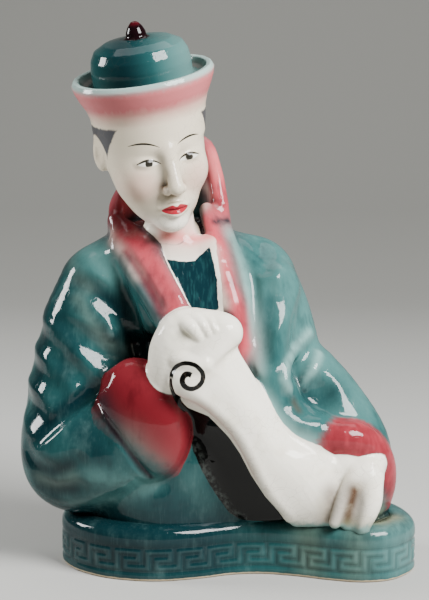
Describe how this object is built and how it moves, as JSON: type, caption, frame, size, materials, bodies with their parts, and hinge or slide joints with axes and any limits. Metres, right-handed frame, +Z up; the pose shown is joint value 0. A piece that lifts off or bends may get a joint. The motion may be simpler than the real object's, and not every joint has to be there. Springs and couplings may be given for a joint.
{
  "type": "ceramic figurine",
  "caption": "Glazed hollow-cast half-length figure in a robe and round brimmed hat, holding an open scroll, on a low kidney-shaped base with a fret band.",
  "frame": {"origin": "middle of the flat underside of the base", "axes": "+Z up through the hat, -Y towards the front of the figure, +X towards the viewer's right"},
  "size_m": [0.2039, 0.0952, 0.2798],
  "materials": {
    "glazed_ceramic": "gloss"
  },
  "bodies": {
    "root": {"figurine": "glazed_ceramic"}
  },
  "joints": []
}
